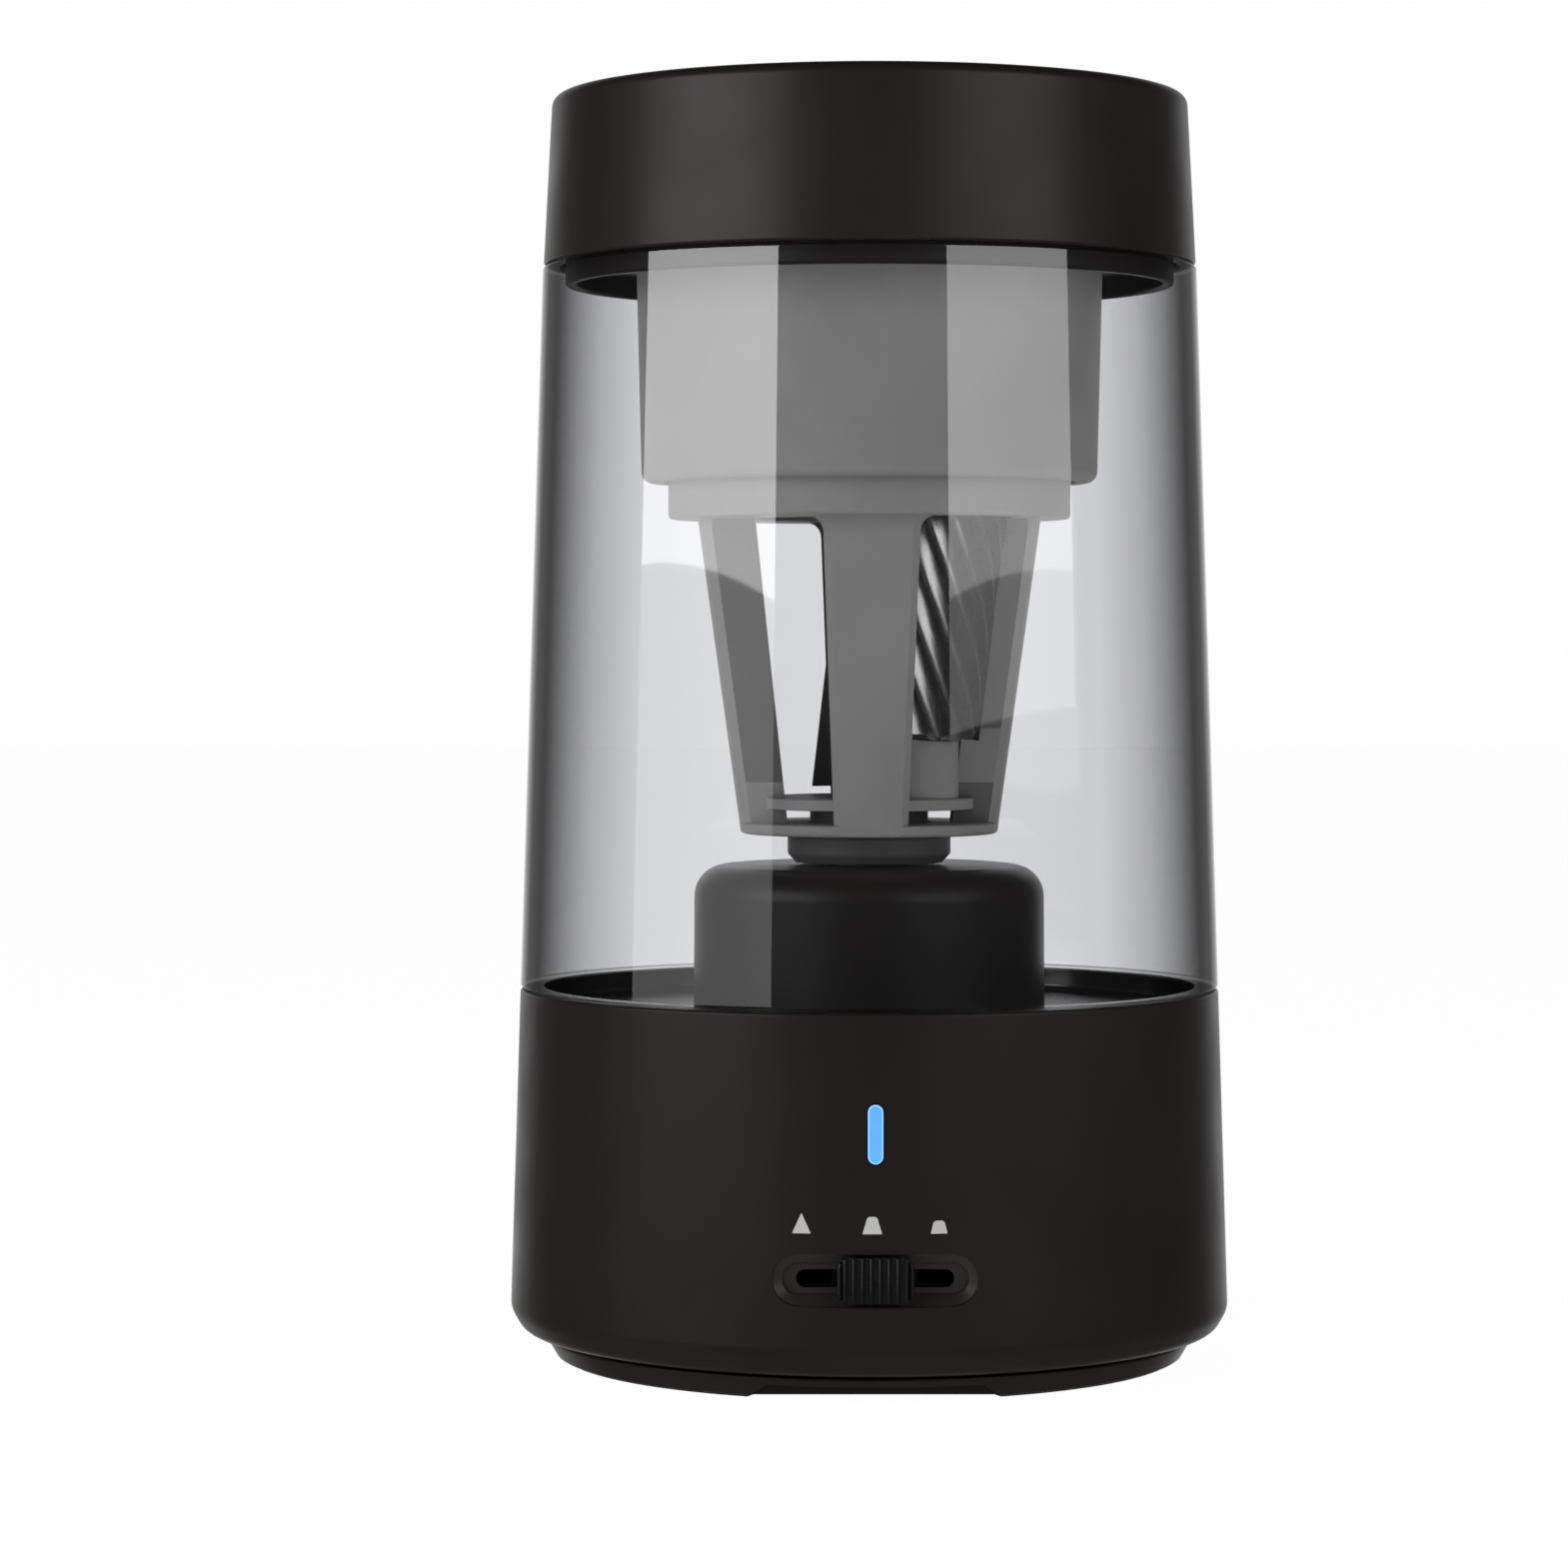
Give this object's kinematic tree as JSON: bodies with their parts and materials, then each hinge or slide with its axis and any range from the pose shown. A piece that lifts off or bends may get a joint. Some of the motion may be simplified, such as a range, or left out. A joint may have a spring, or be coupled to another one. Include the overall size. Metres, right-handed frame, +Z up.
{
  "type": "cordless electric pencil sharpener",
  "caption": "Tapered upright electric pencil sharpener: black base with a slider, clear shavings bin with a helical cutter hanging in it, black cap with the pencil inlet on top.",
  "frame": {"origin": "centre of the foot on the surface that the sharpener stands on", "axes": "+Z up along the pencil's axis, -Y towards the front with the slider and the light, +X to the right seen from the front"},
  "size_m": [0.08, 0.08, 0.14],
  "materials": {
    "black_plastic": "satin moulded black plastic",
    "clear_plastic": "polished, lightly smoked transparent plastic",
    "grey_plastic": "satin moulded mid-grey plastic",
    "dark_plastic": "satin moulded dark grey plastic",
    "white_plastic": "natural moulded acetal",
    "rubber": "matt silicone rubber",
    "steel": "bright steel",
    "tool_steel": "ground tool steel",
    "bronze": "sintered bronze and copper windings",
    "brass": "machined brass",
    "board": "green solder mask",
    "cell": "matt foil pouch",
    "light": "translucent light blue light pipe, lit"
  },
  "bodies": {
    "base": {"base_shell": "black_plastic", "base_deck": "black_plastic", "bottom_cover": "black_plastic", "foot_pad_1": "rubber", "foot_pad_2": "rubber", "foot_pad_3": "rubber", "foot_pad_4": "rubber", "cover_screw_1": "steel", "cover_screw_2": "steel", "cover_screw_3": "steel", "motor_can": "steel", "motor_end_cap": "white_plastic", "idler_pin": "steel", "gearbox_plate": "dark_plastic", "motor_screw_1": "steel", "motor_screw_2": "steel", "spindle_bush_lower": "bronze", "spindle_bush_upper": "bronze", "battery": "cell", "main_board": "board", "light_pipe": "light", "charging_port": "steel", "charging_board": "board", "start_switch": "dark_plastic", "slide_guide": "dark_plastic", "detent_spring": "steel"},
    "bin": {"bin_shell": "clear_plastic"},
    "cap": {"cap_shell": "black_plastic", "cap_underplate": "black_plastic", "pencil_inlet": "black_plastic", "inlet_grommet": "rubber", "cutter_housing": "grey_plastic", "housing_screw_1": "steel", "housing_screw_2": "steel", "housing_screw_3": "steel", "ring_gear": "dark_plastic", "head_bush": "bronze"},
    "carrier": {"carrier_cage": "grey_plastic", "drive_socket": "dark_plastic", "carrier_head": "dark_plastic", "carrier_screw_1": "steel", "carrier_screw_2": "steel", "retaining_ring": "steel", "cutter_axle": "steel"},
    "cutter": {"helical_cutter": "tool_steel", "cutter_pinion": "brass"},
    "spindle": {"drive_spindle": "white_plastic"},
    "idler": {"idler_gear": "white_plastic"},
    "rotor": {"motor_armature": "bronze", "motor_shaft": "steel", "motor_pinion": "brass"},
    "slider": {"slide_knob": "black_plastic", "slide_carriage": "dark_plastic"},
    "stop": {"stop_pin": "steel", "pin_spring": "steel"}
  },
  "joints": [
    {"name": "bin_lift", "type": "slide", "parent": "base", "child": "bin", "axis": [0, 0, 1], "range_m": [0, 0.05]},
    {"name": "cap_lift", "type": "slide", "parent": "bin", "child": "cap", "axis": [0, 0, 1], "range_m": [0, 0.07]},
    {"name": "carrier_spin", "type": "hinge", "parent": "cap", "child": "carrier", "pos_m": [0, 0, 0.11], "axis": [0, 0, 1], "continuous": true},
    {"name": "cutter_spin", "type": "hinge", "parent": "carrier", "child": "cutter", "pos_m": [0, 0, 0.03336], "axis": [0.1349, -0.1349, 0.9816], "continuous": true},
    {"name": "spindle_spin", "type": "hinge", "parent": "base", "child": "spindle", "pos_m": [0, 0, 0.04], "axis": [0, 0, 1], "continuous": true},
    {"name": "idler_spin", "type": "hinge", "parent": "base", "child": "idler", "pos_m": [0, 0.012, 0.038], "axis": [0, 0, 1], "continuous": true},
    {"name": "motor_spin", "type": "hinge", "parent": "base", "child": "rotor", "pos_m": [0.00566, 0.01766, 0.02], "axis": [0, 0, 1], "continuous": true},
    {"name": "point_slider", "type": "slide", "parent": "base", "child": "slider", "axis": [1, 0, 0], "range_m": [-0.0055, 0.0055]},
    {"name": "stop_lift", "type": "slide", "parent": "base", "child": "stop", "axis": [0, 0, 1], "range_m": [-0.0012, 0.0012]}
  ],
  "couplings": [
    {"joint": "cutter_spin", "follows": "carrier_spin", "ratio": -3.1667},
    {"joint": "spindle_spin", "follows": "carrier_spin", "ratio": 1},
    {"joint": "idler_spin", "follows": "carrier_spin", "ratio": -3},
    {"joint": "motor_spin", "follows": "carrier_spin", "ratio": 9},
    {"joint": "stop_lift", "follows": "point_slider", "ratio": 0.2}
  ]
}
